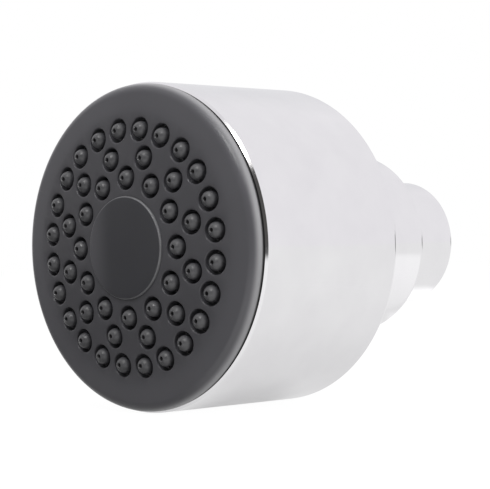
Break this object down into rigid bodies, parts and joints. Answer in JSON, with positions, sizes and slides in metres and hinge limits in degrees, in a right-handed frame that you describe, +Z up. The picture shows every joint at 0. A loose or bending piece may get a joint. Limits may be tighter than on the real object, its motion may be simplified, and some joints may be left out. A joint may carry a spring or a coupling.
{
  "type": "shower head",
  "caption": "Fixed shower head: domed dark nozzle face, straight plated bell, collar nut and a ball swivel on a threaded inlet nut.",
  "frame": {"origin": "on the head's axis, where the inlet thread starts at the mouth of the inlet nut", "axes": "+Y along the axis out of the inlet, towards the shower arm; the spray face looks along -Y; +Z is up"},
  "size_m": [0.077, 0.1038, 0.077],
  "materials": {
    "plated_shell": "bright plated finish on the bell, collar nut, inlet nut and swivel ball",
    "face_plastic": "charcoal grey moulded plastic, satin",
    "cap_plastic": "dark charcoal moulded plastic, satin",
    "nozzle_rubber": "black silicone, satin",
    "inner_plastic": "light grey moulded plastic",
    "seal_rubber": "black rubber",
    "liner_plastic": "white slip plastic",
    "brass": "turned brass",
    "steel": "stainless steel"
  },
  "bodies": {
    "connector": {"inlet_nut": "plated_shell", "swivel_ball": "plated_shell", "inlet_washer": "seal_rubber", "filter_screen": "steel", "flow_regulator": "inner_plastic", "regulator_seal": "seal_rubber"},
    "seat": {"ball_seat": "seal_rubber"},
    "liner": {"ball_liner": "liner_plastic"},
    "head": {"bell_shell": "plated_shell", "collar_nut": "plated_shell", "faceplate": "face_plastic", "centre_cap": "cap_plastic", "nozzle_mat": "nozzle_rubber", "distributor_plate": "inner_plastic", "waterway": "inner_plastic", "face_seal": "seal_rubber", "screw_insert": "brass", "centre_screw": "steel", "screw_washer": "steel"}
  },
  "joints": [
    {"name": "tilt_up_down", "type": "hinge", "parent": "connector", "child": "seat", "pos_m": [0, -0.02838, 0], "axis": [1, 0, 0], "range_deg": [-12, 12]},
    {"name": "tilt_left_right", "type": "hinge", "parent": "seat", "child": "liner", "pos_m": [0, -0.02838, 0], "axis": [0, 0, 1], "range_deg": [-12, 12]},
    {"name": "spin", "type": "hinge", "parent": "liner", "child": "head", "pos_m": [0, -0.02838, 0], "axis": [0, 1, 0], "continuous": true}
  ]
}
